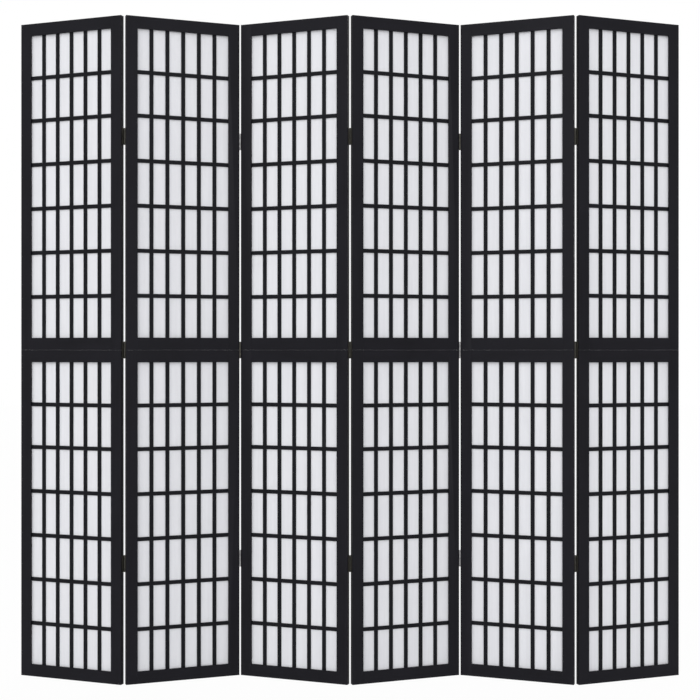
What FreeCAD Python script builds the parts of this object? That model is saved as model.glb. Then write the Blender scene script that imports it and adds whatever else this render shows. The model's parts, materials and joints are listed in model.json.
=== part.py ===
"""A six-panel folding screen of white paper behind a black wooden lattice.

Every panel is two equal framed halves, one on top of the other. A half has rebated stiles and
tenoned rails round a lattice of housed bars, with a sheet of paper behind the bars and mitred
beads behind the paper. Butt hinges join the panels, with their pins by turns behind and in
front of the screen, so that it folds like an accordion.

All lengths are millimetres. A panel's own frame has x across its width from the middle, y back
from its front face and z up from the floor.
"""

import FreeCAD, Part
import math
import os
import re
import Sketcher

# The sizes that can be set one by one.
SIZES = {
    "panel_count": 6,
    "fold_angle": 20.3,  # degrees by which each panel turns out of the screen's long line
    # The wooden frame of each half panel
    "half_height": 999.8,
    "seam_gap": 0.4,  # the joint line between the two halves
    "panel_width": 350,
    "frame_thickness": 16,
    "stile_width": 35,
    "rail_height": 37,
    "lip_thickness": 5,  # the wood in front of the rebate that the lattice sits in
    "rebate_width": 5,
    "tenon_length": 22,
    "tenon_thickness": 5,
    "tenon_shoulder": 6,
    "mortise_relief": 1,  # left free past the end of a tenon
    "mortise_clearance": 0.1,
    # The lattice
    "column_count": 6,
    "bar_width": 12,
    "bar_thickness": 3.3,
    "cross_bar_thickness": 1.65,
    "housing_clearance": 0.1,
    "first_cross_height": 162.5,
    "cross_pitch": 135,
    "top_cell_height": 123.5,
    "end_clearance": 0.5,  # between the lattice's ends and the wall of the rebate
    # The paper and what holds it
    "paper_thickness": 0.4,
    "mitre_gap": 0.15,
    # The hinges
    "hinge_spread": 640,  # from the middle hinge to the upper and the lower one
    "hinge_length": 50,
    "leaf_width": 11,
    "leaf_thickness": 1,
    "leaf_clearance": 0.2,  # between the leaves of a closed hinge
    "barrel_diameter": 6,
    "barrel_clearance": 0.1,  # between a barrel and the arris of a stile
    "knuckle_gap": 0.2,
    "knuckle_cutback": 0.3,  # how far a leaf stops inside the stile's face beside a knuckle
    "pin_diameter": 3,
    "pin_clearance": 0.05,
    "pin_end": 0.6,  # how far a pin stands out of its barrel at each end
}

# The barrels and pins are small and many, so they are drawn with flats instead of round.
BARREL_SIDES = 12
PIN_SIDES = 8

# What follows from them.
FITS = {
    "half_pitch": "half_height + seam_gap",
    "light_half": "panel_width / 2 - stile_width",
    "rebate_half": "light_half + rebate_width",
    "rebate_foot": "rail_height - rebate_width",
    "rebate_top": "half_height - rebate_foot",
    "tenon_front": "lip_thickness + (frame_thickness - lip_thickness - tenon_thickness) / 2",
    "tenon_height": "rebate_foot - 2 * tenon_shoulder",
    "column_pitch": "(2 * light_half + bar_width) / column_count",
    "first_column": "column_pitch - light_half - bar_width / 2",
    "top_cross_height": "half_height - rail_height - top_cell_height - bar_width / 2",
    "cross_room": "top_cross_height - 2 * bar_width - first_cross_height",
    "even_cross_bars": "floor(cross_room / cross_pitch) + 1",
    "lattice_half": "rebate_half - end_clearance",
    "lattice_foot": "rebate_foot + end_clearance",
    "lattice_top": "rebate_top - end_clearance",
    "housing_width": "bar_width + housing_clearance",
    "paper_front": "lip_thickness + bar_thickness",
    "bead_front": "paper_front + paper_thickness",
    "bead_half": "rebate_half - mitre_gap",
    "panel_gap": "2 * leaf_thickness + leaf_clearance",
    "pin_offset": "(panel_width + panel_gap) / 2",
    "barrel_reach": "barrel_diameter / 2 + barrel_clearance",
    "pin_setback": "sqrt(barrel_reach ^ 2 - (panel_gap / 2) ^ 2)",
    # out to the corners of the bore, so that its flats clear the corners of the pin
    "bore_radius": f"(pin_diameter / 2 + pin_clearance) / cos({180 / PIN_SIDES} deg)",
    "finger_tip": "(bore_radius + barrel_diameter / 2) / 2 - pin_setback",
    "knuckle_length": "(hinge_length - 2 * knuckle_gap) / 3",
    "knuckle_pitch": "knuckle_length + knuckle_gap",
    "hinge_foot": "half_height + seam_gap / 2 - hinge_spread - hinge_length / 2",
}

ROOT_POINT = (-1, 1)  # a sketch's own origin, as a constraint names it
START, END = 1, 2

# What repeats, as an axis, a count and a spacing.
BOTH_HALVES = ("Z_Axis", "2", "half_pitch")
ALL_COLUMNS = ("X_Axis", "column_count - 1", "column_pitch")
EVEN_ROWS = ("Z_Axis", "even_cross_bars", "cross_pitch")
THREE_HINGES = ("Z_Axis", "3", "hinge_spread")

# The cross bars, as the height of the lowest and its repeats: the top one keeps its own spacing.
CROSS_BARS = (
    ("first_cross_height", (EVEN_ROWS, BOTH_HALVES)),
    ("top_cross_height", (BOTH_HALVES,)),
)

document = FreeCAD.newDocument("Screen")


# ---------------------------------------------------------------- sizes


def fill_sheets():
    """Writes the driving sizes in one sheet and what follows from them in another."""
    sizes = document.addObject("Spreadsheet::Sheet", "Sizes")
    for row, (name, value) in enumerate(SIZES.items(), start=1):
        sizes.set(f"A{row}", name)
        sizes.set(f"B{row}", str(value))
        sizes.setAlias(f"B{row}", name)
    fits = document.addObject("Spreadsheet::Sheet", "Fits")
    for row, (name, formula) in enumerate(FITS.items(), start=1):
        fits.set(f"A{row}", name)
        fits.set(f"B{row}", "=" + bound(formula))
        fits.setAlias(f"B{row}", name)
    document.recompute()


def bound(formula):
    """The formula with the sheet's name put before each size."""

    def whole_name(word):
        name = word.group()
        if name in SIZES:
            return f"Sizes.{name}"
        return f"Fits.{name}" if name in FITS else name

    return re.sub(r"[a-z_]+", whole_name, formula)


def value(formula):
    """What a formula comes to now."""
    return float(document.Sizes.evalExpression(bound(formula)))


# ---------------------------------------------------------------- sketches and features


def new_body(label, panel):
    """An empty body that stands in its panel's frame."""
    body = document.addObject("PartDesign::Body", label)
    body.Label = label
    body.Placement = panel_placement(panel)
    return body


def origin_part(body, role):
    """A plane or an axis of the body's own frame."""
    return next(part for part in body.Origin.OriginFeatures if part.Role == role)


def new_sketch(body, plane, across="0", out="0"):
    """A sketch on one of the body's planes, moved along its own x by across and up its normal by out."""
    sketch = body.newObject("Sketcher::SketchObject", "Sketch")
    sketch.AttachmentSupport = (origin_part(body, plane), [""])
    sketch.MapMode = "FlatFace"
    sketch.setExpression("AttachmentOffset.Base.x", bound(across))
    sketch.setExpression("AttachmentOffset.Base.z", bound(out))
    return sketch


def place_point(sketch, geometry, point, corner):
    """Ties a point of the sketch to two formulas, measured from the sketch's origin."""
    for direction, formula in zip(("DistanceX", "DistanceY"), corner):
        constraint = Sketcher.Constraint(direction, *ROOT_POINT, geometry, point, value(formula))
        number = sketch.addConstraint(constraint)
        sketch.setExpression(f"Constraints[{number}]", bound(formula))


def outline(sketch, corners):
    """Draws a closed run of straight edges through corners given as pairs of formulas."""
    points = [FreeCAD.Vector(value(x), value(y), 0) for x, y in corners]
    first = sketch.GeometryCount
    for here, there in zip(points, points[1:] + points[:1]):
        sketch.addGeometry(Part.LineSegment(here, there), False)
    for number, corner in enumerate(corners):
        before = first + (number - 1) % len(corners)
        joined = Sketcher.Constraint("Coincident", before, END, first + number, START)
        sketch.addConstraint(joined)
        place_point(sketch, first + number, START, corner)


def rectangle(sketch, left, right, low, high):
    """Draws a rectangle from the formulas of its four sides."""
    outline(sketch, ((left, low), (right, low), (right, high), (left, high)))


def polygon(sketch, x, y, radius, sides):
    """Draws a regular polygon from the formulas of its centre and of its corners' radius."""
    turns = [f"({360 / sides * corner} deg)" for corner in range(sides)]
    outline(
        sketch,
        [(f"{x} + {radius} * cos{turn}", f"{y} + {radius} * sin{turn}") for turn in turns],
    )


def pad(body, sketch, length, backwards=False, both_ways=False):
    """Adds the sketch's outline to the body, raised by the length."""
    feature = body.newObject("PartDesign::Pad", "Pad")
    feature.Profile = sketch
    feature.setExpression("Length", bound(length))
    feature.Reversed = backwards
    if both_ways:
        feature.SideType = "Symmetric"
    return feature


def pocket(body, sketch, depth, backwards=False):
    """Cuts the sketch's outline from the body, to the depth."""
    feature = body.newObject("PartDesign::Pocket", "Pocket")
    feature.Profile = sketch
    feature.setExpression("Length", bound(depth))
    feature.Reversed = backwards
    return feature


def repeat(body, features, *runs):
    """Repeats the features along one run after another, each an axis, a count and a spacing."""
    repeats = body.newObject("PartDesign::MultiTransform", "Repeats")
    repeats.Originals = features
    steps = []
    for axis, count, spacing in runs:
        step = body.newObject("PartDesign::LinearPattern", "Run")
        step.Direction = (origin_part(body, axis), [""])
        step.Mode = "Spacing"
        step.setExpression("Offset", bound(spacing))
        step.setExpression("Occurrences", bound(count))
        steps.append(step)
    repeats.Transformations = steps
    body.Tip = repeats


# ---------------------------------------------------------------- where the panels stand


def panel_placement(panel):
    """Odd panels come forward from left to right and even ones go back, all about one middle line."""
    turn = value("fold_angle") * (1 if panel % 2 == 0 else -1)
    rotation = FreeCAD.Rotation(FreeCAD.Vector(0, 0, 1), turn)
    angle = math.radians(value("fold_angle"))
    depth = value("frame_thickness + 2 * pin_setback")
    pitch = value("2 * pin_offset") * math.cos(angle) + depth * math.sin(angle)
    middle = FreeCAD.Vector((panel - (value("panel_count") + 1) / 2) * pitch, 0, 0)
    return FreeCAD.Placement(
        middle - rotation.multVec(FreeCAD.Vector(0, value("frame_thickness / 2"), 0)), rotation
    )


def pin_face(panel, side):
    """The face that a panel's hinge pins stand out of: side is 1 for its right edge, -1 for its left."""
    return "back" if (panel % 2 == 1) == (side == 1) else "front"


def from_face(face, depth):
    """The y of a point that lies a depth inside the front or the back face of a panel."""
    return f"({depth})" if face == "front" else f"(frame_thickness - ({depth}))"


# ---------------------------------------------------------------- wood


def make_stiles(panel):
    """The uprights of both halves, rebated all along and mortised for the rails."""
    body = new_body(f"panel_{panel}_stiles", panel)
    sections = new_sketch(body, "XY_Plane")
    for side in ("-1", "1"):
        outline(
            sections,
            (
                (f"{side} * panel_width / 2", "0"),
                (f"{side} * panel_width / 2", "frame_thickness"),
                (f"{side} * rebate_half", "frame_thickness"),
                (f"{side} * rebate_half", "lip_thickness"),
                (f"{side} * light_half", "lip_thickness"),
                (f"{side} * light_half", "0"),
            ),
        )
    features = [pad(body, sections, "half_height")]
    for side in (-1, 1):
        mortises = new_sketch(body, "YZ_Plane", out=f"{side} * rebate_half")
        for foot in ("tenon_shoulder", "half_height - tenon_shoulder - tenon_height"):
            rectangle(
                mortises,
                "tenon_front - mortise_clearance",
                "tenon_front + tenon_thickness + mortise_clearance",
                f"{foot} - mortise_clearance",
                f"{foot} + tenon_height + mortise_clearance",
            )
        features.append(
            pocket(body, mortises, "tenon_length + mortise_relief", backwards=side == 1)
        )
    repeat(body, features, BOTH_HALVES)
    return body


def make_rails(panel):
    """The top and bottom rails of both halves, with long back shoulders that fill the stiles' rebates."""
    body = new_body(f"panel_{panel}_rails", panel)
    lips = new_sketch(body, "YZ_Plane")
    rectangle(lips, "0", "lip_thickness", "0", "rail_height")
    rectangle(lips, "0", "lip_thickness", "half_height - rail_height", "half_height")
    pads = [pad(body, lips, "2 * light_half", both_ways=True)]
    backs = new_sketch(body, "YZ_Plane")
    rectangle(backs, "lip_thickness", "frame_thickness", "0", "rebate_foot")
    rectangle(backs, "lip_thickness", "frame_thickness", "rebate_top", "half_height")
    pads.append(pad(body, backs, "2 * rebate_half", both_ways=True))
    tenons = new_sketch(body, "YZ_Plane")
    for foot in ("tenon_shoulder", "half_height - tenon_shoulder - tenon_height"):
        rectangle(
            tenons, "tenon_front", "tenon_front + tenon_thickness", foot, f"{foot} + tenon_height"
        )
    pads.append(pad(body, tenons, "2 * (rebate_half + tenon_length)", both_ways=True))
    repeat(body, pads, BOTH_HALVES)
    return body


def make_vertical_bars(panel):
    """The lattice's uprights, with a housing across the front for every cross bar."""
    body = new_body(f"panel_{panel}_vertical_bars", panel)
    first = new_sketch(body, "XZ_Plane", out="-lip_thickness")
    rectangle(
        first,
        "first_column - bar_width / 2",
        "first_column + bar_width / 2",
        "lattice_foot",
        "lattice_top",
    )
    bar = pad(body, first, "bar_thickness", backwards=True)
    repeat(body, [bar], ALL_COLUMNS, BOTH_HALVES)
    for height, runs in CROSS_BARS:
        slot = new_sketch(body, "XZ_Plane", out="-lip_thickness")
        across_lattice(slot, height, "housing_width")
        housing = pocket(body, slot, "cross_bar_thickness")
        repeat(body, [housing], *runs)
    return body


def make_cross_bars(panel):
    """The lattice's cross bars, which lie flush in the uprights' housings."""
    body = new_body(f"panel_{panel}_cross_bars", panel)
    for height, runs in CROSS_BARS:
        front = new_sketch(body, "XZ_Plane", out="-lip_thickness")
        across_lattice(front, height, "bar_width")
        bar = pad(body, front, "cross_bar_thickness", backwards=True)
        repeat(body, [bar], *runs)
    return body


def across_lattice(sketch, height, width):
    """Draws a strip from rebate to rebate, with its middle at the height."""
    rectangle(
        sketch,
        "-lattice_half",
        "lattice_half",
        f"{height} - {width} / 2",
        f"{height} + {width} / 2",
    )


def make_paper(panel):
    """One sheet behind the bars of each half."""
    body = new_body(f"panel_{panel}_paper", panel)
    sheet = new_sketch(body, "XZ_Plane", out="-paper_front")
    rectangle(sheet, "-lattice_half", "lattice_half", "lattice_foot", "lattice_top")
    repeat(body, [pad(body, sheet, "paper_thickness", backwards=True)], BOTH_HALVES)
    return body


def make_beads(panel):
    """Four mitred beads round the back of each half, which fill the rebate and hold the paper."""
    body = new_body(f"panel_{panel}_beads", panel)
    frame = new_sketch(body, "XZ_Plane", out="-bead_front")
    for outer, inner in (("rebate_foot", "rail_height"), ("rebate_top", "half_height - rail_height")):
        outline(
            frame,
            (
                ("-bead_half", outer),
                ("bead_half", outer),
                ("bead_half - rebate_width", inner),
                ("rebate_width - bead_half", inner),
            ),
        )
    for side in ("-1", "1"):
        outline(
            frame,
            (
                (f"{side} * rebate_half", "rebate_foot + mitre_gap"),
                (f"{side} * light_half", "rail_height + mitre_gap"),
                (f"{side} * light_half", "half_height - rail_height - mitre_gap"),
                (f"{side} * rebate_half", "rebate_top - mitre_gap"),
            ),
        )
    beads = pad(body, frame, "frame_thickness - bead_front", backwards=True)
    repeat(body, [beads], BOTH_HALVES)
    return body


# ---------------------------------------------------------------- hinges


def make_leaves(panel, sides):
    """The hinge leaves on a panel's edges: two knuckles each on its right edge, one on its left."""
    body = new_body(f"panel_{panel}_hinge_leaves", panel)
    pieces = []
    for side in sides:
        face = pin_face(panel, side)
        if side == 1:
            fingers = (
                ("0", "knuckle_length"),
                ("hinge_length - knuckle_length", "hinge_length"),
            )
        else:
            fingers = (("knuckle_pitch", "hinge_length - knuckle_pitch"),)
        plate = new_sketch(body, "YZ_Plane", out=f"{side} * panel_width / 2")
        outline(plate, leaf_corners(face, fingers))
        pieces.append(pad(body, plate, "leaf_thickness", backwards=side == -1))
        pin = (f"{side} * pin_offset", from_face(face, "-pin_setback"))
        for low, high in fingers:
            knuckle = new_sketch(body, "XY_Plane", out=f"hinge_foot + {low}")
            polygon(knuckle, *pin, "barrel_diameter / 2", BARREL_SIDES)
            polygon(knuckle, *pin, "bore_radius", PIN_SIDES)
            pieces.append(pad(body, knuckle, f"{high} - ({low})"))
    repeat(body, pieces, THREE_HINGES)
    return body


def leaf_corners(face, fingers):
    """The outline of a leaf's plate, as (y, z) formulas, with a finger out to each of its knuckles."""
    edge = from_face(face, "leaf_width")
    root = from_face(face, "knuckle_cutback")
    tip = from_face(face, "finger_tip")
    steps = []
    for low, high in fingers:
        steps += [(root, low), (tip, low), (tip, high), (root, high)]
    # a finger at the leaf's very end has no step there
    steps = steps[1:] if fingers[0][0] == "0" else [(root, "0"), *steps]
    steps = steps[:-1] if fingers[-1][1] == "hinge_length" else [*steps, (root, "hinge_length")]
    corners = [(edge, "0"), *steps, (edge, "hinge_length")]
    return [(y, f"hinge_foot + {z}") for y, z in corners]


def make_pins(line):
    """The three pins of one line of hinges, carried by the panel on its left."""
    body = new_body(f"hinge_line_{line}_pins", line)
    end = new_sketch(body, "XY_Plane", out="hinge_foot - pin_end")
    pin_y = from_face(pin_face(line, 1), "-pin_setback")
    polygon(end, "pin_offset", pin_y, "pin_diameter / 2", PIN_SIDES)
    pin = pad(body, end, "hinge_length + 2 * pin_end")
    repeat(body, [pin], THREE_HINGES)
    return body


# ---------------------------------------------------------------- the whole screen


def make_screen():
    """Every sub-part of the screen, panel by panel and then hinge line by hinge line."""
    panels = range(1, round(value("panel_count")) + 1)
    bodies = []
    for panel in panels:
        bodies.append(make_stiles(panel))
        bodies.append(make_rails(panel))
        bodies.append(make_vertical_bars(panel))
        bodies.append(make_cross_bars(panel))
        bodies.append(make_paper(panel))
        bodies.append(make_beads(panel))
        hinged_sides = [side for side in (-1, 1) if panel + side in panels]
        bodies.append(make_leaves(panel, hinged_sides))
    for line in panels[:-1]:
        bodies.append(make_pins(line))
    return bodies


def check(bodies):
    """Stops on anything that failed to build."""
    for thing in document.Objects:
        if "Invalid" in thing.State or "Error" in thing.State:
            raise RuntimeError(f"{thing.Label} failed: {thing.State}")
    for body in bodies:
        if body.Shape.isNull() or not body.Shape.isValid():
            raise RuntimeError(f"{body.Label} has no valid shape")


def main():
    fill_sheets()
    bodies = make_screen()
    document.recompute()
    check(bodies)
    os.makedirs("parts", exist_ok=True)
    for body in bodies:
        body.Shape.exportStep(f"parts/{body.Label}.step")
        print(body.Label, len(body.Shape.Solids), "solids,", round(body.Shape.Volume), "mm3")


main()
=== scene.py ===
"""Dresses a folding screen of white paper behind a black lattice, lit like a studio picture.

The wooden frames and lattice keep their solids and get softened arrises and a satin lacquer. The
paper keeps its solids and gets its fibres. The seam of each panel is filled with glue whose light
grey paints the highlight of the seam's arrises, and every hinge is modelled again with rolled
knuckles, countersunk screws and a round pin; most front barrels get a painted highlight.
"""

import json
import math

import bpy
from mathutils import Matrix, Vector

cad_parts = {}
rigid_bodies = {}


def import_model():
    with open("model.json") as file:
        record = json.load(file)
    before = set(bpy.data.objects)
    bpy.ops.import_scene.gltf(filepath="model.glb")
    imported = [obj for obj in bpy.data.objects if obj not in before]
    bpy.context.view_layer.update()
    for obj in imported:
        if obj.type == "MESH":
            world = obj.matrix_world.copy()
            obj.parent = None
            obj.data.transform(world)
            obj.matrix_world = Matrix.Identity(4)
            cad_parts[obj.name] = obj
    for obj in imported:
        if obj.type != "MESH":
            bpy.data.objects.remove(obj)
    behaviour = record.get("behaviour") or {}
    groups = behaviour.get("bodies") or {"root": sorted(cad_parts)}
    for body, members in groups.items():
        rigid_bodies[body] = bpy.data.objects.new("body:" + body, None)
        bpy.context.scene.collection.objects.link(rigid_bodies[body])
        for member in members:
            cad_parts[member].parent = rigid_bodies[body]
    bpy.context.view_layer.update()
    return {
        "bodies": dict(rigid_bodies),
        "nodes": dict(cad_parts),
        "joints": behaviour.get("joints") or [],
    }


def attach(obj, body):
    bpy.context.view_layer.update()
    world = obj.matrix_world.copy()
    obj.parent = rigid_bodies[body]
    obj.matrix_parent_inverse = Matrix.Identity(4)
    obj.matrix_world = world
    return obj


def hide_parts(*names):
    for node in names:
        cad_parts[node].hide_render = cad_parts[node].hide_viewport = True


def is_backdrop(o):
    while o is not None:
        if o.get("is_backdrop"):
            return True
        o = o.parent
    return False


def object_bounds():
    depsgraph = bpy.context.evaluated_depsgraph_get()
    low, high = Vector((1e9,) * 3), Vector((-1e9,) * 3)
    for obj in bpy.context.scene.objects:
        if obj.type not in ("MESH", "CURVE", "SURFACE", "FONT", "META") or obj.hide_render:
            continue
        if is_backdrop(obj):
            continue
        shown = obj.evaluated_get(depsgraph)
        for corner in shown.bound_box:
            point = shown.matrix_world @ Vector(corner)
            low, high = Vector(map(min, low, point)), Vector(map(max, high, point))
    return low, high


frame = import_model()

bl_info = {
    "name": "Folding paper screen",
    "version": (1, 0, 0),
    "blender": (4, 5, 0),
    "location": "View3D > Sidebar > Paper screen",
    "description": "Dresses a paper screen: lacquered wood, fibrous paper, blackened hinges",
    "category": "Object",
}

JOINTS = {joint["name"]: joint for joint in frame["joints"]}
PANELS = sorted(frame["bodies"])
LINES = sorted(JOINTS)

HALF_PI = math.pi / 2
UPRIGHTS = ("stiles", "vertical_bars")
WOOD_PARTS = ("stiles", "rails", "beads")
LATTICE_PARTS = ("vertical_bars", "cross_bars")

# The lowest, the middle and the highest hinge of a line.
HINGE_STEPS = (-1, 0, 1)

# Front hinges that keep the dark colour and get no painted highlight on their barrels, as a line
# and a step.
FRONT_WITHOUT_HIGHLIGHT = (("hinge_line_2", 0), ("hinge_line_4", 1))

# How metallic the dark hinge metal and the light colour that paints the highlight on front barrels
# look.
BLACK_METALLIC = 0.4
HIGHLIGHT_METALLIC = 0.85

# How much each surface mirrors, as the shader's specular level.
LACQUER_SPECULAR = 0.1
PAPER_SPECULAR = 0.2

# Between these two a noise texture spends nearly all of its range.
NOISE_LOW = 0.3
NOISE_HIGH = 0.7

# How the arrises of the solids are rounded, in metres and radians.
WELD_DISTANCE = 0.00001
ARRIS_ANGLE = math.radians(40)
ARRIS_SEGMENTS = 2

# Roundness of the hinges.
BARREL_SIDES = 40
PIN_SIDES = 32
SMOOTH_ANGLE = math.radians(35)

# Small sizes of a hinge, in metres.
BORE_PLAY = 0.00005  # between a pin and its bore
PLATE_CUTBACK = 0.0003  # how far behind the panel's face a plate starts
NECK_OVERLAP = 0.0005  # how far a knuckle's neck reaches into its plate
PLATE_ARRIS = 0.0002
BARREL_ARRIS = 0.00025
PIN_STAND_OUT = 0.0006  # how far a pin stands out at each end
PIN_DOME = 0.0005
HEAD_DEPTH = 0.0007
HEAD_RISE = 0.00005  # how far a screw's head stands out of its leaf
HEAD_ARRIS = 0.0001
RECESS_DEPTH = 0.0005
RECESS_CLEAR = 0.001  # how far the recess's tool stands out of the head

# Shares: where a screw sits across a leaf, and its recess against the head's radius.
SCREW_ACROSS = 0.52
RECESS_REACH = 0.6
RECESS_WIDTH = 0.16

# The camera's sensor in millimetres, and the places from which the far lamps point at the screen.
SENSOR_WIDTH = 36
KEY_PLACE = (-2.0, -3.5, 4.0)
FRONT_PLACE = (0.0, -4.0, 0.7)
BACK_PLACE = (1.0, 4.0, 2.0)

# The floor's size in metres, its own grey, and how much of the plain white covers that grey.
FLOOR_SIZE = 40
FLOOR_GREY = 0.9
FLOOR_WHITE = 0.96


# ---------------------------------------------------------------- what a user would change


class ScreenFinish(bpy.types.PropertyGroup):
    """Colours and edges of the screen's surfaces."""

    lacquer: bpy.props.FloatVectorProperty(
        name="Frame lacquer",
        description="Colour of the lacquer on stiles and rails",
        subtype="COLOR",
        size=3,
        default=(0.0082, 0.0079, 0.0110),
    )
    lattice_lacquer: bpy.props.FloatVectorProperty(
        name="Lattice lacquer",
        description="Colour of the lacquer on the bars",
        subtype="COLOR",
        size=3,
        default=(0.0062, 0.0064, 0.0086),
    )
    # This light grey paints the highlight that the arrises of the seam catch.
    glue: bpy.props.FloatVectorProperty(
        name="Glue line",
        description="Light grey of the glue between the two halves of a panel, a painted seam highlight",
        subtype="COLOR",
        size=3,
        default=(0.16, 0.16, 0.17),
    )
    paper: bpy.props.FloatVectorProperty(
        name="Paper",
        description="Colour of the paper",
        subtype="COLOR",
        size=3,
        default=(0.785, 0.79, 0.825),
    )
    metal: bpy.props.FloatVectorProperty(
        name="Hinge metal",
        description="Colour of the blackened hinges",
        subtype="COLOR",
        size=3,
        default=(0.044, 0.042, 0.034),
    )
    # This light colour paints the highlight on the barrels of the front hinges; all hinges are one
    # dark metal.
    highlight_metal: bpy.props.FloatVectorProperty(
        name="Hinge metal with painted highlight",
        description="Colour of the front hinges, a painted highlight on their barrels",
        subtype="COLOR",
        size=3,
        default=(0.25, 0.248, 0.25),
    )
    seam_width: bpy.props.FloatProperty(
        name="Seam width",
        description="Length of the glue line across a panel",
        default=0.349,
        unit="LENGTH",
    )
    seam_depth: bpy.props.FloatProperty(
        name="Seam depth",
        description="How far the glue reaches from front to back",
        default=0.0148,
        unit="LENGTH",
    )
    seam_height: bpy.props.FloatProperty(
        name="Seam height",
        description="Thickness of the glue line",
        default=0.00038,
        unit="LENGTH",
    )
    frame_arris: bpy.props.FloatProperty(
        name="Frame arris",
        description="How far the edges of stiles and rails are rubbed down",
        default=0.0004,
        unit="LENGTH",
    )
    bar_arris: bpy.props.FloatProperty(
        name="Bar arris",
        description="How far the edges of the lattice bars are rubbed down",
        default=0.0003,
        unit="LENGTH",
    )


class ScreenHinge(bpy.types.PropertyGroup):
    """Sizes of one butt hinge."""

    length: bpy.props.FloatProperty(
        name="Length", description="Height of a hinge", default=0.05, unit="LENGTH"
    )
    spread: bpy.props.FloatProperty(
        name="Spread",
        description="From the middle hinge of a line to the next",
        default=0.64,
        unit="LENGTH",
    )
    leaf_width: bpy.props.FloatProperty(
        name="Leaf width",
        description="How far a leaf reaches across the stile's edge",
        default=0.011,
        unit="LENGTH",
    )
    leaf_thickness: bpy.props.FloatProperty(
        name="Leaf thickness", description="Thickness of the sheet", default=0.001, unit="LENGTH"
    )
    leaf_gap: bpy.props.FloatProperty(
        name="Leaf gap",
        description="Between the two leaves of a closed hinge",
        default=0.0002,
        unit="LENGTH",
    )
    barrel_radius: bpy.props.FloatProperty(
        name="Barrel radius", description="Outside of the knuckles", default=0.003, unit="LENGTH"
    )
    pin_radius: bpy.props.FloatProperty(
        name="Pin radius", description="Radius of the pin", default=0.0015, unit="LENGTH"
    )
    knuckle_gap: bpy.props.FloatProperty(
        name="Knuckle gap", description="Between two knuckles", default=0.0002, unit="LENGTH"
    )
    setback: bpy.props.FloatProperty(
        name="Pin setback",
        description="From the panel's face out to the middle of the pin",
        default=0.0029,
        unit="LENGTH",
    )
    screw_radius: bpy.props.FloatProperty(
        name="Screw head radius",
        description="Radius of a screw's head",
        default=0.0026,
        unit="LENGTH",
    )
    screw_spread: bpy.props.FloatProperty(
        name="Screw spread",
        description="From the hinge's middle up and down to its screws",
        default=0.0155,
        unit="LENGTH",
    )


class ScreenStage(bpy.types.PropertyGroup):
    """Camera, lamps and floor."""

    lens: bpy.props.FloatProperty(
        name="Lens", description="Focal length on a 36 mm sensor, in millimetres", default=67.37
    )
    distance: bpy.props.FloatProperty(
        name="Distance",
        description="From the camera to the nearest edge of the screen",
        default=3.909,
        unit="LENGTH",
    )
    height: bpy.props.FloatProperty(
        name="Height", description="Height of the camera", default=1.0, unit="LENGTH"
    )
    sky: bpy.props.FloatProperty(
        name="Room light", description="Strength of the even light from all sides", default=0.47
    )
    front: bpy.props.FloatProperty(
        name="Front light",
        description="Strength of the far soft lamp before the screen",
        default=1.12,
    )
    back: bpy.props.FloatProperty(
        name="Back light",
        description="Strength of the far soft lamp behind the screen",
        default=0.9,
    )
    key: bpy.props.FloatProperty(
        name="Key light",
        description="Strength of the far soft lamp at the upper left",
        default=0.76,
    )
    lamp_spread: bpy.props.FloatProperty(
        name="Lamp spread",
        description="How wide a far lamp looks, which softens its shadows",
        default=math.radians(50),
        subtype="ANGLE",
    )


# ---------------------------------------------------------------- node helpers


def new_material(name):
    """A material with its own Principled shader, and that shader."""
    material = bpy.data.materials.new(name)
    material.use_nodes = True
    return material, material.node_tree.nodes["Principled BSDF"]


def add_node(tree, kind, place, **settings):
    """A node of that kind at a place in the tree, with its settings."""
    node = tree.nodes.new(kind)
    node.location = place
    for name, setting in settings.items():
        setattr(node, name, setting)
    return node


def new_group(name, inputs, outputs):
    """An empty shader group with named sockets, and its input and output nodes."""
    group = bpy.data.node_groups.new(name, "ShaderNodeTree")
    for label, kind, default in inputs:
        socket = group.interface.new_socket(name=label, in_out="INPUT", socket_type=kind)
        if default is not None:
            socket.default_value = default
    for label, kind in outputs:
        group.interface.new_socket(name=label, in_out="OUTPUT", socket_type=kind)
    start = add_node(group, "NodeGroupInput", (-900, 0))
    end = add_node(group, "NodeGroupOutput", (700, 0))
    return group, start, end


def use_group(tree, group, place, **values):
    """A copy of the group in a material, with its own values."""
    node = add_node(tree, "ShaderNodeGroup", place, node_tree=group)
    for label, setting in values.items():
        node.inputs[label.replace("_", " ").capitalize()].default_value = setting
    return node


def noise(tree, place, vector, scale, detail=3.0, roughness=0.5):
    """A noise texture read at a vector."""
    node = add_node(tree, "ShaderNodeTexNoise", place)
    node.inputs["Scale"].default_value = scale
    node.inputs["Detail"].default_value = detail
    node.inputs["Roughness"].default_value = roughness
    tree.links.new(vector, node.inputs["Vector"])
    return node.outputs["Fac"]


def remap(tree, place, value, to_low, to_high, low=NOISE_LOW, high=NOISE_HIGH):
    """A value stretched from one range to another, and held there."""
    node = add_node(tree, "ShaderNodeMapRange", place)
    node.inputs["From Min"].default_value = low
    node.inputs["From Max"].default_value = high
    tree.links.new(value, node.inputs["Value"])
    for label, end in (("To Min", to_low), ("To Max", to_high)):
        if isinstance(end, (int, float)):
            node.inputs[label].default_value = end
        else:
            tree.links.new(end, node.inputs[label])
    return node.outputs["Result"]


def stretched(tree, place, vector, scale):
    """A vector scaled by another, which stretches what is read at it."""
    node = add_node(tree, "ShaderNodeVectorMath", place, operation="MULTIPLY")
    tree.links.new(vector, node.inputs[0])
    if isinstance(scale, tuple):
        node.inputs[1].default_value = scale
    else:
        tree.links.new(scale, node.inputs[1])
    return node.outputs["Vector"]


def multiply(tree, place, first, second):
    """Two values multiplied."""
    node = add_node(tree, "ShaderNodeMath", place, operation="MULTIPLY")
    tree.links.new(first, node.inputs[0])
    tree.links.new(second, node.inputs[1])
    return node.outputs["Value"]


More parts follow.
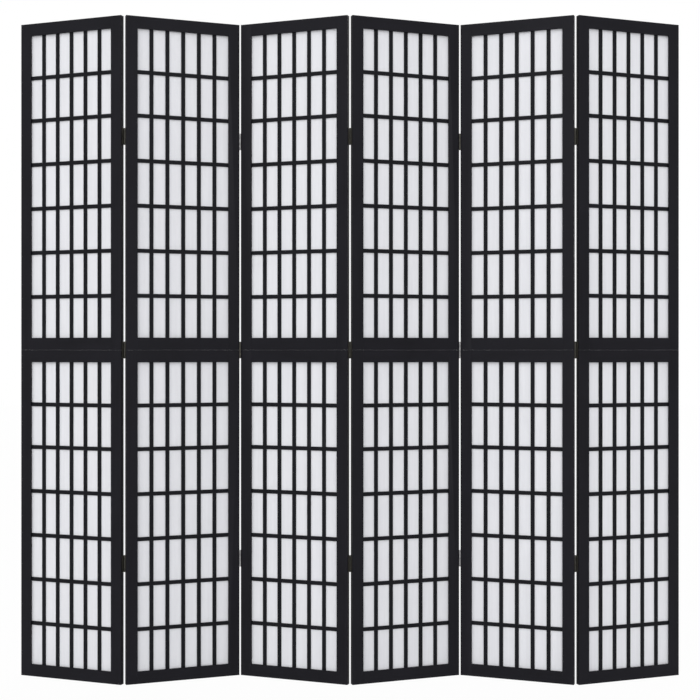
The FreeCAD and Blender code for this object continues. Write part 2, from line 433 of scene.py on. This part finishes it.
def seen_directly(tree):
    """One where the camera, a shiny surface or a clear one looks at it, and nothing elsewhere."""
    path = add_node(tree, "ShaderNodeLightPath", (-900, 300))
    either = add_node(tree, "ShaderNodeMath", (-700, 300), operation="MAXIMUM")
    tree.links.new(path.outputs["Is Camera Ray"], either.inputs[0])
    tree.links.new(path.outputs["Is Glossy Ray"], either.inputs[1])
    any_ray = add_node(tree, "ShaderNodeMath", (-500, 300), operation="MAXIMUM")
    tree.links.new(either.outputs[0], any_ray.inputs[0])
    tree.links.new(path.outputs["Is Transmission Ray"], any_ray.inputs[1])
    return any_ray.outputs[0]


def shade(tree, place, colour, factor):
    """A colour made lighter or darker by a factor."""
    node = add_node(tree, "ShaderNodeVectorMath", place, operation="SCALE")
    tree.links.new(colour, node.inputs[0])
    tree.links.new(factor, node.inputs["Scale"])
    return node.outputs["Vector"]


# ---------------------------------------------------------------- shared effects


def grain_group():
    """Sprayed lacquer on planed wood: faint grain along it, and a fine orange peel."""
    name = "Lacquered grain"
    if name in bpy.data.node_groups:
        return bpy.data.node_groups[name]
    group, start, end = new_group(
        name,
        [
            ("Vector", "NodeSocketVector", None),
            ("Colour", "NodeSocketColor", (0.02, 0.02, 0.02, 1)),
            ("Stretch", "NodeSocketVector", (1, 1, 1)),
            ("Variation", "NodeSocketFloat", 0.1),
            ("Gloss low", "NodeSocketFloat", 0.35),
            ("Gloss high", "NodeSocketFloat", 0.5),
        ],
        [
            ("Colour", "NodeSocketColor"),
            ("Roughness", "NodeSocketFloat"),
            ("Height", "NodeSocketFloat"),
        ],
    )
    along = stretched(group, (-700, 200), start.outputs["Vector"], start.outputs["Stretch"])
    rings = noise(group, (-500, 300), along, scale=60.0, detail=4.0, roughness=0.6)
    patches = noise(group, (-500, 100), start.outputs["Vector"], scale=9.0, detail=2.0)
    peel = noise(group, (-500, -100), start.outputs["Vector"], scale=900.0, detail=2.0)
    low = add_node(group, "ShaderNodeMath", (-500, -300), operation="SUBTRACT")
    low.inputs[0].default_value = 1.0
    group.links.new(start.outputs["Variation"], low.inputs[1])
    high = add_node(group, "ShaderNodeMath", (-500, -450), operation="ADD")
    high.inputs[0].default_value = 1.0
    group.links.new(start.outputs["Variation"], high.inputs[1])
    tint = remap(group, (-250, 300), rings, low.outputs[0], high.outputs[0])
    spread = remap(group, (-250, 100), patches, low.outputs[0], high.outputs[0])
    both = multiply(group, (-50, 200), tint, spread)
    colour = shade(group, (150, 200), start.outputs["Colour"], both)
    ends = start.outputs["Gloss low"], start.outputs["Gloss high"]
    gloss = remap(group, (150, 0), rings, *ends)
    fine = multiply(group, (-250, -150), peel, patches)
    ridge = add_node(group, "ShaderNodeMath", (150, -200), operation="MULTIPLY_ADD")
    group.links.new(rings, ridge.inputs[0])
    ridge.inputs[1].default_value = 0.6
    group.links.new(fine, ridge.inputs[2])
    group.links.new(colour, end.inputs["Colour"])
    group.links.new(gloss, end.inputs["Roughness"])
    group.links.new(ridge.outputs[0], end.inputs["Height"])
    return group


def bump(tree, place, height, shader, distance, strength):
    """Roughens a shader's surface by a height."""
    node = add_node(tree, "ShaderNodeBump", place)
    node.inputs["Strength"].default_value = strength
    node.inputs["Distance"].default_value = distance
    tree.links.new(height, node.inputs["Height"])
    tree.links.new(node.outputs["Normal"], shader.inputs["Normal"])


# ---------------------------------------------------------------- materials


def lacquer_material(name, colour, upright):
    """Satin black lacquer on wood whose grain runs up the piece or along it."""
    material, shader = new_material(name)
    tree = material.node_tree
    place = add_node(tree, "ShaderNodeTexCoord", (-1000, 0))
    stretch = (1.0, 1.0, 0.06) if upright else (0.06, 0.06, 1.0)
    grain = use_group(
        tree, grain_group(), (-600, 0), colour=(*colour, 1), stretch=stretch, variation=0.10
    )
    tree.links.new(place.outputs["Object"], grain.inputs["Vector"])
    tree.links.new(grain.outputs["Colour"], shader.inputs["Base Color"])
    tree.links.new(grain.outputs["Roughness"], shader.inputs["Roughness"])
    bump(tree, (-300, -200), grain.outputs["Height"], shader, distance=0.0002, strength=0.35)
    shader.inputs["Specular IOR Level"].default_value = LACQUER_SPECULAR
    return material


def paper_material(colour):
    """Handmade white paper: long fibres up the sheet, small flecks, and a slight slackness."""
    material, shader = new_material("Fibrous paper")
    tree = material.node_tree
    place = add_node(tree, "ShaderNodeTexCoord", (-1300, 0))
    position = place.outputs["Object"]
    upright = stretched(tree, (-1100, 200), position, (1.0, 1.0, 0.05))
    streaks = noise(tree, (-900, 300), upright, scale=120.0, detail=3.0, roughness=0.6)
    tangle = stretched(tree, (-1100, 0), position, (1.0, 1.0, 0.35))
    fibres = noise(tree, (-900, 100), tangle, scale=420.0, detail=4.0, roughness=0.65)
    clouds = noise(tree, (-900, -100), position, scale=14.0, detail=2.0)
    slack = noise(tree, (-900, -300), position, scale=5.0, detail=1.0)
    streak_tint = remap(tree, (-650, 300), streaks, 0.975, 1.02)
    fibre_tint = remap(tree, (-650, 100), fibres, 0.985, 1.015, low=0.25, high=0.75)
    cloud_tint = remap(tree, (-650, -100), clouds, 0.99, 1.01)
    tints = multiply(tree, (-450, 200), streak_tint, fibre_tint)
    tints = multiply(tree, (-300, 100), tints, cloud_tint)
    base = add_node(tree, "ShaderNodeRGB", (-450, 400))
    base.outputs[0].default_value = (*colour, 1)
    tinted = shade(tree, (-150, 300), base.outputs[0], tints)
    tree.links.new(tinted, shader.inputs["Base Color"])
    rough = remap(tree, (-300, -100), fibres, 0.78, 0.92)
    tree.links.new(rough, shader.inputs["Roughness"])
    relief = add_node(tree, "ShaderNodeMath", (-450, -300), operation="MULTIPLY_ADD")
    tree.links.new(slack, relief.inputs[0])
    relief.inputs[1].default_value = 2.0
    tree.links.new(fibres, relief.inputs[2])
    bump(tree, (-250, -350), relief.outputs[0], shader, distance=0.0002, strength=0.4)
    shader.inputs["Specular IOR Level"].default_value = PAPER_SPECULAR
    return material


def metal_material(name, colour, metallic):
    """Brass blackened in a bath, stained and finely scratched."""
    material, shader = new_material(name)
    tree = material.node_tree
    place = add_node(tree, "ShaderNodeTexCoord", (-1100, 0))
    position = place.outputs["Object"]
    stain = noise(tree, (-900, 200), position, scale=160.0, detail=4.0, roughness=0.6)
    upright = stretched(tree, (-1000, -50), position, (1, 1, 0.1))
    scratch = noise(tree, (-900, -50), upright, scale=1500.0, detail=2.0)
    tint = remap(tree, (-650, 200), stain, 0.7, 1.5, high=0.75)
    base = add_node(tree, "ShaderNodeRGB", (-650, 400))
    base.outputs[0].default_value = (*colour, 1)
    tree.links.new(shade(tree, (-400, 300), base.outputs[0], tint), shader.inputs["Base Color"])
    tree.links.new(remap(tree, (-650, 0), stain, 0.32, 0.5), shader.inputs["Roughness"])
    shader.inputs["Metallic"].default_value = metallic
    bump(tree, (-400, -200), scratch, shader, distance=0.00005, strength=0.3)
    return material


def wear(piece, material):
    """Puts one material on every slot of a piece."""
    if not piece.material_slots:
        piece.data.materials.append(material)
    for place in piece.material_slots:
        place.material = material


# ---------------------------------------------------------------- mesh helpers


def clear_selection():
    """Leaves nothing selected, so that an operator touches only what is added next."""
    bpy.ops.object.select_all(action="DESELECT")


def soften(piece, width):
    """Welds a solid's loose faces and rounds its arrises, with modifiers that stay live."""
    weld = piece.modifiers.new("Weld", "WELD")
    weld.merge_threshold = WELD_DISTANCE
    arris = piece.modifiers.new("Arris", "BEVEL")
    arris.width = width
    arris.segments = ARRIS_SEGMENTS
    arris.limit_method = "ANGLE"
    arris.angle_limit = ARRIS_ANGLE
    arris.harden_normals = True
    arris.use_clamp_overlap = False


def lacquer_parts(parts, label, colour, arris):
    """Lacquers those parts of every panel and rubs down their arrises."""
    upright = lacquer_material(f"{label}, upright", colour, True)
    level = lacquer_material(f"{label}, level", colour, False)
    for panel in PANELS:
        for part in parts:
            node = frame["nodes"][f"{panel}_{part}"]
            wear(node, upright if part in UPRIGHTS else level)
            soften(node, arris)


def apply_modifier(piece, kind, **settings):
    """Adds a modifier with its settings and applies it."""
    bpy.context.view_layer.objects.active = piece
    modifier = piece.modifiers.new(kind.title(), kind)
    for name, setting in settings.items():
        setattr(modifier, name, setting)
    bpy.ops.object.modifier_apply(modifier=modifier.name)


def add_cylinder(radius, depth, place, sides, along_x=False):
    """A cylinder at a place, upright or along x."""
    clear_selection()
    turn = (0, HALF_PI, 0) if along_x else (0, 0, 0)
    bpy.ops.mesh.primitive_cylinder_add(
        vertices=sides, radius=radius, depth=depth, location=place, rotation=turn
    )
    piece = bpy.context.object
    bpy.ops.object.transform_apply(location=True, rotation=True, scale=True)
    return piece


def add_block(low, high):
    """A block between two corners."""
    clear_selection()
    middle = [(a + b) / 2 for a, b in zip(low, high)]
    bpy.ops.mesh.primitive_cube_add(size=1, location=middle)
    piece = bpy.context.object
    piece.scale = [b - a for a, b in zip(low, high)]
    bpy.ops.object.transform_apply(location=True, rotation=True, scale=True)
    return piece


def cut(piece, tool):
    """Takes a tool's shape out of a piece, and the tool away."""
    apply_modifier(piece, "BOOLEAN", operation="DIFFERENCE", object=tool, solver="EXACT")
    bpy.data.objects.remove(tool)


def join(pieces, name):
    """Makes one piece of several."""
    clear_selection()
    for piece in pieces:
        piece.select_set(True)
    bpy.context.view_layer.objects.active = pieces[0]
    bpy.ops.object.join()
    joined = bpy.context.object
    joined.name = name
    joined.data.name = name
    return joined


def copy_to(piece, name, matrix, material):
    """A copy of a piece with its own mesh and material, whose place is in that mesh."""
    copy = piece.copy()
    copy.data = piece.data.copy()
    copy.name = name
    copy.data.name = name
    copy.data.transform(matrix)
    wear(copy, material)
    bpy.context.scene.collection.objects.link(copy)
    return copy


# ---------------------------------------------------------------- hinges


def knuckle_spans(size, outer):
    """The low and high ends of a leaf's knuckles, measured from the hinge's middle."""
    third = (size.length - 2 * size.knuckle_gap) / 3
    half = size.length / 2
    if outer:
        return ((-half, third - half), (half - third, half))
    return ((-third / 2, third / 2),)


def model_leaf(size, outer):
    """A leaf whose pin stands at the origin, on a panel that lies to the left and reaches back."""
    inner = -size.leaf_gap / 2
    outside = inner - size.leaf_thickness
    half = size.length / 2
    root = size.setback + PLATE_CUTBACK
    back = size.setback + size.leaf_width
    plate = add_block((outside, root, -half), (inner, back, half))
    apply_modifier(plate, "BEVEL", width=PLATE_ARRIS, segments=2, limit_method="ANGLE")
    pieces = [plate]
    bore = size.pin_radius + BORE_PLAY
    neck = (bore + size.barrel_radius) / 2
    for low, high in knuckle_spans(size, outer):
        middle = (0, 0, (low + high) / 2)
        barrel = add_cylinder(size.barrel_radius, high - low, middle, BARREL_SIDES)
        apply_modifier(barrel, "BEVEL", width=BARREL_ARRIS, segments=2, limit_method="ANGLE")
        cut(barrel, add_cylinder(bore, size.length, middle, PIN_SIDES))
        pieces.append(barrel)
        pieces.append(add_block((outside, neck, low), (inner, root + NECK_OVERLAP, high)))
    across = size.setback + size.leaf_width * SCREW_ACROSS
    for side in (-1, 1):
        pieces.append(model_screw(size, (inner, across, side * size.screw_spread)))
    leaf = join(pieces, "leaf")
    bpy.ops.object.shade_smooth_by_angle(angle=SMOOTH_ANGLE)
    return leaf


def model_screw(size, place):
    """A countersunk head with a cross recess, nearly flush with the leaf at a place on its face."""
    x, y, z = place
    middle = (x - HEAD_DEPTH / 2 + HEAD_RISE, y, z)
    head = add_cylinder(size.screw_radius, HEAD_DEPTH, middle, PIN_SIDES, along_x=True)
    apply_modifier(head, "BEVEL", width=HEAD_ARRIS, segments=2, limit_method="ANGLE")
    arm = size.screw_radius * RECESS_REACH
    width = size.screw_radius * RECESS_WIDTH
    for reach, rise in ((arm, width), (width, arm)):
        low = (x - RECESS_DEPTH, y - reach, z - rise)
        high = (x + RECESS_CLEAR, y + reach, z + rise)
        cut(head, add_block(low, high))
    return head


def model_pin(size):
    """A pin with slightly domed ends that stand out of the barrel."""
    pin = add_cylinder(size.pin_radius, size.length + 2 * PIN_STAND_OUT, (0, 0, 0), PIN_SIDES)
    apply_modifier(pin, "BEVEL", width=PIN_DOME, segments=3, limit_method="ANGLE")
    pin.name = "pin"
    bpy.ops.object.shade_smooth_by_angle(angle=SMOOTH_ANGLE)
    return pin


def panel_turn(panel):
    """A panel's turn about the vertical: odd panels come forward to the right."""
    rest = math.radians(-JOINTS[LINES[0]]["range_deg"][0]) / 2
    return rest if PANELS.index(panel) % 2 else -rest


def panel_frame(panel):
    """The middle of a panel, halfway up it, and its turn about the vertical."""
    low, high = node_box(f"{panel}_stiles")
    return (low + high) / 2, Matrix.Rotation(panel_turn(panel), 4, "Z")


def node_box(name):
    """The two corners of a node's solids."""
    node = frame["nodes"][name]
    corners = [node.matrix_world @ vertex.co for vertex in node.data.vertices]
    low = Vector([min(corner[axis] for corner in corners) for axis in range(3)])
    high = Vector([max(corner[axis] for corner in corners) for axis in range(3)])
    return low, high


def hinge_places(line, size):
    """The middles of a line's three hinges, on its axis, from the lowest up."""
    x, y, z = JOINTS[line]["pos_m"]
    return [Vector((x, y, z + step * size.spread)) for step in HINGE_STEPS]


# ---------------------------------------------------------------- operators


class SCREEN_OT_stage(bpy.types.Operator):
    """Set up the camera, the lamps and the white floor"""

    bl_idname = "screen.stage"
    bl_label = "Set up the stage"

    def execute(self, context):
        stage = context.scene.screen_stage
        context.scene.view_settings.view_transform = "Standard"
        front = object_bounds()[0][1]
        camera = bpy.data.objects.new("Camera", bpy.data.cameras.new("Camera"))
        camera.data.lens = stage.lens
        camera.data.sensor_width = SENSOR_WIDTH
        camera.location = (0, front - stage.distance, stage.height)
        camera.rotation_euler = (HALF_PI, 0, 0)
        context.scene.collection.objects.link(camera)
        context.scene.camera = camera
        self.add_world(context.scene, stage)
        for name, place, strength in (
            ("Key", KEY_PLACE, stage.key),
            ("Front", FRONT_PLACE, stage.front),
            ("Back", BACK_PLACE, stage.back),
        ):
            self.add_lamp(context.scene, name, place, strength, stage.lamp_spread)
        self.add_floor()
        return {"FINISHED"}

    def add_world(self, scene, stage):
        """Even light, in front of a white that the camera and anything shiny sees."""
        world = bpy.data.worlds.new("Studio")
        world.use_nodes = True
        scene.world = world
        tree = world.node_tree
        light = tree.nodes["Background"]
        light.inputs["Color"].default_value = (1, 1, 1, 1)
        light.inputs["Strength"].default_value = stage.sky
        white = add_node(tree, "ShaderNodeBackground", (0, -200))
        white.inputs["Color"].default_value = (1, 1, 1, 1)
        white.inputs["Strength"].default_value = 1.0
        mix = add_node(tree, "ShaderNodeMixShader", (250, 100))
        tree.links.new(seen_directly(tree), mix.inputs["Fac"])
        tree.links.new(light.outputs[0], mix.inputs[1])
        tree.links.new(white.outputs[0], mix.inputs[2])
        tree.links.new(mix.outputs[0], tree.nodes["World Output"].inputs["Surface"])

    def add_lamp(self, scene, name, place, strength, spread):
        """A far lamp, so that panels at both ends of the screen get as much light."""
        lamp = bpy.data.objects.new(name, bpy.data.lights.new(name, "SUN"))
        lamp.data.energy = strength
        lamp.data.angle = spread
        lamp.location = place
        lamp.rotation_euler = (-Vector(place)).to_track_quat("-Z", "Y").to_euler()
        scene.collection.objects.link(lamp)

    def add_floor(self):
        """A white floor that shows only the faintest shadow."""
        clear_selection()
        bpy.ops.mesh.primitive_plane_add(size=FLOOR_SIZE, location=(0, 0, 0))
        floor = bpy.context.object
        floor.name = "Floor"
        material, shader = new_material("White floor")
        tree = material.node_tree
        shader.inputs["Base Color"].default_value = (FLOOR_GREY, FLOOR_GREY, FLOOR_GREY, 1)
        shader.inputs["Roughness"].default_value = 0.9
        glow = add_node(tree, "ShaderNodeEmission", (0, -300))
        glow.inputs["Strength"].default_value = 1.0
        share = add_node(tree, "ShaderNodeMath", (-200, 300), operation="MULTIPLY")
        share.inputs[1].default_value = FLOOR_WHITE
        mix = add_node(tree, "ShaderNodeMixShader", (300, 0))
        tree.links.new(seen_directly(tree), share.inputs[0])
        tree.links.new(share.outputs[0], mix.inputs["Fac"])
        tree.links.new(shader.outputs[0], mix.inputs[1])
        tree.links.new(glow.outputs[0], mix.inputs[2])
        tree.links.new(mix.outputs[0], tree.nodes["Material Output"].inputs["Surface"])
        floor.data.materials.append(material)
        floor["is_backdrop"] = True


class SCREEN_OT_frames(bpy.types.Operator):
    """Lacquer the stiles, rails and beads and rub down their arrises"""

    bl_idname = "screen.frames"
    bl_label = "Finish the frames"

    def execute(self, context):
        finish = context.scene.screen_finish
        lacquer_parts(WOOD_PARTS, "Frame lacquer", finish.lacquer, finish.frame_arris)
        return {"FINISHED"}


class SCREEN_OT_glue_lines(bpy.types.Operator):
    """Fill the seam between the two halves of each panel with its glue, whose light grey paints the
    seam's highlight
    """

    bl_idname = "screen.glue_lines"
    bl_label = "Fill the glue lines"

    def execute(self, context):
        finish = context.scene.screen_finish
        # The glue's light grey is a painted highlight along the seam.
        material = lacquer_material("Glue with painted seam highlight", finish.glue, False)
        half = (finish.seam_width / 2, finish.seam_depth / 2, finish.seam_height / 2)
        for panel in PANELS:
            middle, turn = panel_frame(panel)
            glue = add_block([-reach for reach in half], half)
            glue.data.transform(Matrix.Translation(middle) @ turn)
            glue.name = glue.data.name = f"{panel}_glue_line"
            wear(glue, material)
            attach(glue, panel)
        return {"FINISHED"}


class SCREEN_OT_lattice(bpy.types.Operator):
    """Lacquer the bars of the lattice and rub down their arrises"""

    bl_idname = "screen.lattice"
    bl_label = "Finish the lattice"

    def execute(self, context):
        finish = context.scene.screen_finish
        lacquer_parts(LATTICE_PARTS, "Bar lacquer", finish.lattice_lacquer, finish.bar_arris)
        return {"FINISHED"}


class SCREEN_OT_paper(bpy.types.Operator):
    """Give every sheet of paper its fibres"""

    bl_idname = "screen.paper"
    bl_label = "Finish the paper"

    def execute(self, context):
        material = paper_material(context.scene.screen_finish.paper)
        for panel in PANELS:
            wear(frame["nodes"][f"{panel}_paper"], material)
        return {"FINISHED"}


class SCREEN_OT_hinges(bpy.types.Operator):
    """Model the hinges and set them on their pins"""

    bl_idname = "screen.hinges"
    bl_label = "Model the hinges"

    def execute(self, context):
        size = context.scene.screen_hinge
        finish = context.scene.screen_finish
        dark = metal_material("Blackened brass", finish.metal, BLACK_METALLIC)
        # The second, light material paints the highlight that the front barrels catch; the hinges
        # are all of the dark metal.
        rubbed = metal_material("Brass with painted highlight", finish.highlight_metal, HIGHLIGHT_METALLIC)
        masters = {"outer": model_leaf(size, True), "inner": model_leaf(size, False)}
        pin = model_pin(size)
        leaves = {panel: [] for panel in PANELS}
        for number, line in enumerate(LINES):
            left, right = PANELS[number], PANELS[number + 1]
            left_turn = Matrix.Rotation(panel_turn(left), 4, "Z")
            right_turn = Matrix.Rotation(panel_turn(right), 4, "Z")
            # at a line that stands towards the viewer the pins are behind the panels
            behind = number % 2 == 0
            if behind:
                left_turn = left_turn @ Matrix.Rotation(math.pi, 4, "X")
                right_turn = right_turn @ Matrix.Rotation(math.pi, 4, "Z")
            else:
                right_turn = right_turn @ Matrix.Rotation(math.pi, 4, "Y")
            pins = []
            for step, place in zip(HINGE_STEPS, hinge_places(line, size)):
                # Hinges behind the panels and the two listed front ones keep the dark colour; the
                # other front barrels get the light colour, a painted highlight.
                metal = dark if behind or (line, step) in FRONT_WITHOUT_HIGHLIGHT else rubbed
                there = Matrix.Translation(place)
                leaves[left].append(copy_to(masters["outer"], "leaf", there @ left_turn, metal))
                leaves[right].append(copy_to(masters["inner"], "leaf", there @ right_turn, metal))
                pins.append(copy_to(pin, "pin", there, metal))
            piece = join(pins, f"{line}_round_pins")
            self.finish_piece(piece, left, f"{line}_pins", "pin_metal")
        for panel in PANELS:
            piece = join(leaves[panel], f"{panel}_rolled_leaves")
            self.finish_piece(piece, panel, f"{panel}_hinge_leaves", "hinge_metal")
        for master in (*masters.values(), pin):
            bpy.data.objects.remove(master)
        return {"FINISHED"}

    def finish_piece(self, piece, panel, node, slot):
        """Lets a piece stand for its solid on a panel and hides that solid; the slot is not used.
        """
        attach(piece, panel)
        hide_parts(node)


class SCREEN_PT_panel(bpy.types.Panel):
    """The steps that dress the screen"""

    bl_label = "Paper screen"
    bl_space_type = "VIEW_3D"
    bl_region_type = "UI"
    bl_category = "Paper screen"

    def draw(self, context):
        for step in STEPS:
            self.layout.operator(step.bl_idname)
        scene = context.scene
        for group in (scene.screen_finish, scene.screen_hinge, scene.screen_stage):
            box = self.layout.box()
            for name in group.__annotations__:
                box.prop(group, name)


STEPS = (
    SCREEN_OT_stage,
    SCREEN_OT_frames,
    SCREEN_OT_glue_lines,
    SCREEN_OT_lattice,
    SCREEN_OT_paper,
    SCREEN_OT_hinges,
)
CLASSES = (ScreenFinish, ScreenHinge, ScreenStage, *STEPS, SCREEN_PT_panel)


def register():
    for part in CLASSES:
        bpy.utils.register_class(part)
    bpy.types.Scene.screen_finish = bpy.props.PointerProperty(type=ScreenFinish)
    bpy.types.Scene.screen_hinge = bpy.props.PointerProperty(type=ScreenHinge)
    bpy.types.Scene.screen_stage = bpy.props.PointerProperty(type=ScreenStage)


def unregister():
    del bpy.types.Scene.screen_stage
    del bpy.types.Scene.screen_hinge
    del bpy.types.Scene.screen_finish
    for part in reversed(CLASSES):
        bpy.utils.unregister_class(part)


def main():
    """Dresses the whole screen."""
    register()
    bpy.ops.screen.stage()
    bpy.ops.screen.frames()
    bpy.ops.screen.glue_lines()
    bpy.ops.screen.lattice()
    bpy.ops.screen.paper()
    bpy.ops.screen.hinges()


if __name__ == "__main__":
    main()
